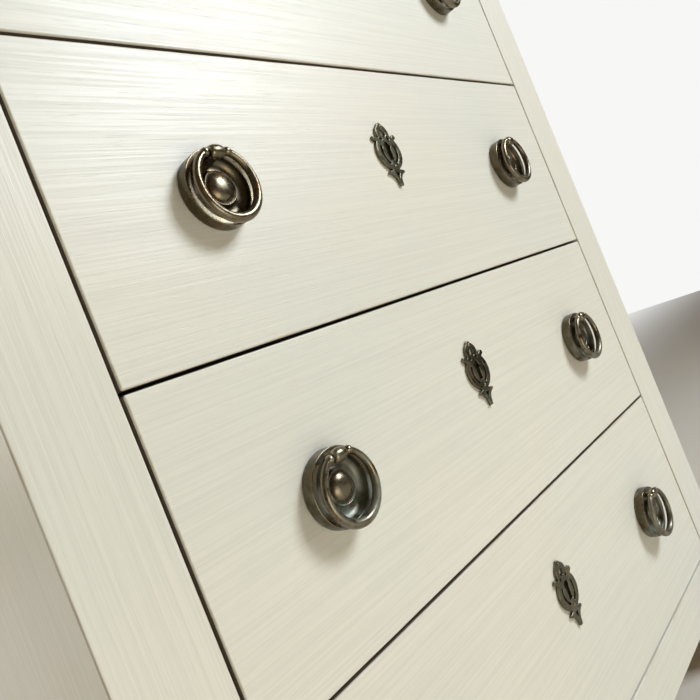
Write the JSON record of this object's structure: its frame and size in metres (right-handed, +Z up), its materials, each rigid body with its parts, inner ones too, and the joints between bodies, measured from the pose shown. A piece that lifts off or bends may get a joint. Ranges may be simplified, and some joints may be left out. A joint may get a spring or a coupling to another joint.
{
  "type": "chest of drawers",
  "caption": "Small freestanding chest of drawers with inset painted fronts, cup-backed ring pulls that swing, pierced keyhole plates, and drawers that slide out.",
  "frame": {"origin": "on the floor, under the middle of the object's bounding box", "axes": "+Z up, the drawers face -Y and pull out along -Y, +X to the right of someone facing the drawers"},
  "size_m": [0.634, 0.4166, 0.81],
  "materials": {
    "cream_paint": "brushed cream paint over wood, satin, with fine grain lines",
    "drawer_lining": "stained and sealed wood, satin",
    "runner_wood": "plain sanded wood, unpolished",
    "aged_brass": "antiqued cast brass, dark in the hollows and rubbed bright on the edges",
    "dark_brass": "antiqued sheet brass, dull olive"
  },
  "bodies": {
    "carcass": {"top_board": "cream_paint", "post_front_left": "cream_paint", "post_front_right": "cream_paint", "post_rear_left": "cream_paint", "post_rear_right": "cream_paint", "side_panel_left": "cream_paint", "side_panel_right": "cream_paint", "back_panel": "runner_wood", "front_apron": "cream_paint", "bottom_board": "runner_wood", "top_rail": "cream_paint", "divider_rail_1": "cream_paint", "divider_rail_2": "cream_paint", "divider_rail_3": "cream_paint", "bottom_rail": "cream_paint", "runner_frame_1": "runner_wood", "runner_frame_2": "runner_wood", "runner_frame_3": "runner_wood", "runner_frame_4": "runner_wood"},
    "drawer_1": {"drawer_1_front": "cream_paint", "drawer_1_side_left": "drawer_lining", "drawer_1_side_right": "drawer_lining", "drawer_1_back": "drawer_lining", "drawer_1_bottom": "drawer_lining", "keyhole_plate_1": "dark_brass", "rose_1_left": "aged_brass", "rose_1_right": "aged_brass"},
    "ring_1_left": {"ring_1_left": "aged_brass"},
    "ring_1_right": {"ring_1_right": "aged_brass"},
    "drawer_2": {"drawer_2_front": "cream_paint", "drawer_2_side_left": "drawer_lining", "drawer_2_side_right": "drawer_lining", "drawer_2_back": "drawer_lining", "drawer_2_bottom": "drawer_lining", "keyhole_plate_2": "dark_brass", "rose_2_left": "aged_brass", "rose_2_right": "aged_brass"},
    "ring_2_left": {"ring_2_left": "aged_brass"},
    "ring_2_right": {"ring_2_right": "aged_brass"},
    "drawer_3": {"drawer_3_front": "cream_paint", "drawer_3_side_left": "drawer_lining", "drawer_3_side_right": "drawer_lining", "drawer_3_back": "drawer_lining", "drawer_3_bottom": "drawer_lining", "keyhole_plate_3": "dark_brass", "rose_3_left": "aged_brass", "rose_3_right": "aged_brass"},
    "ring_3_left": {"ring_3_left": "aged_brass"},
    "ring_3_right": {"ring_3_right": "aged_brass"},
    "drawer_4": {"drawer_4_front": "cream_paint", "drawer_4_side_left": "drawer_lining", "drawer_4_side_right": "drawer_lining", "drawer_4_back": "drawer_lining", "drawer_4_bottom": "drawer_lining", "keyhole_plate_4": "dark_brass", "rose_4_left": "aged_brass", "rose_4_right": "aged_brass"},
    "ring_4_left": {"ring_4_left": "aged_brass"},
    "ring_4_right": {"ring_4_right": "aged_brass"}
  },
  "joints": [
    {"name": "drawer_1_slide", "type": "slide", "parent": "carcass", "child": "drawer_1", "axis": [0, -1, 0], "range_m": [0, 0.29]},
    {"name": "ring_1_left_hinge", "type": "hinge", "parent": "drawer_1", "child": "ring_1_left", "pos_m": [-0.1665, -0.2047, 0.721], "axis": [-1, 0, 0], "range_deg": [-2.5, 190]},
    {"name": "ring_1_right_hinge", "type": "hinge", "parent": "drawer_1", "child": "ring_1_right", "pos_m": [0.1665, -0.2047, 0.721], "axis": [-1, 0, 0], "range_deg": [-2.5, 190]},
    {"name": "drawer_2_slide", "type": "slide", "parent": "carcass", "child": "drawer_2", "axis": [0, -1, 0], "range_m": [0, 0.29]},
    {"name": "ring_2_left_hinge", "type": "hinge", "parent": "drawer_2", "child": "ring_2_left", "pos_m": [-0.1665, -0.2047, 0.554], "axis": [-1, 0, 0], "range_deg": [-2.5, 190]},
    {"name": "ring_2_right_hinge", "type": "hinge", "parent": "drawer_2", "child": "ring_2_right", "pos_m": [0.1665, -0.2047, 0.554], "axis": [-1, 0, 0], "range_deg": [-2.5, 190]},
    {"name": "drawer_3_slide", "type": "slide", "parent": "carcass", "child": "drawer_3", "axis": [0, -1, 0], "range_m": [0, 0.29]},
    {"name": "ring_3_left_hinge", "type": "hinge", "parent": "drawer_3", "child": "ring_3_left", "pos_m": [-0.1665, -0.2047, 0.387], "axis": [-1, 0, 0], "range_deg": [-2.5, 190]},
    {"name": "ring_3_right_hinge", "type": "hinge", "parent": "drawer_3", "child": "ring_3_right", "pos_m": [0.1665, -0.2047, 0.387], "axis": [-1, 0, 0], "range_deg": [-2.5, 190]},
    {"name": "drawer_4_slide", "type": "slide", "parent": "carcass", "child": "drawer_4", "axis": [0, -1, 0], "range_m": [0, 0.29]},
    {"name": "ring_4_left_hinge", "type": "hinge", "parent": "drawer_4", "child": "ring_4_left", "pos_m": [-0.1665, -0.2047, 0.22], "axis": [-1, 0, 0], "range_deg": [-2.5, 190]},
    {"name": "ring_4_right_hinge", "type": "hinge", "parent": "drawer_4", "child": "ring_4_right", "pos_m": [0.1665, -0.2047, 0.22], "axis": [-1, 0, 0], "range_deg": [-2.5, 190]}
  ]
}
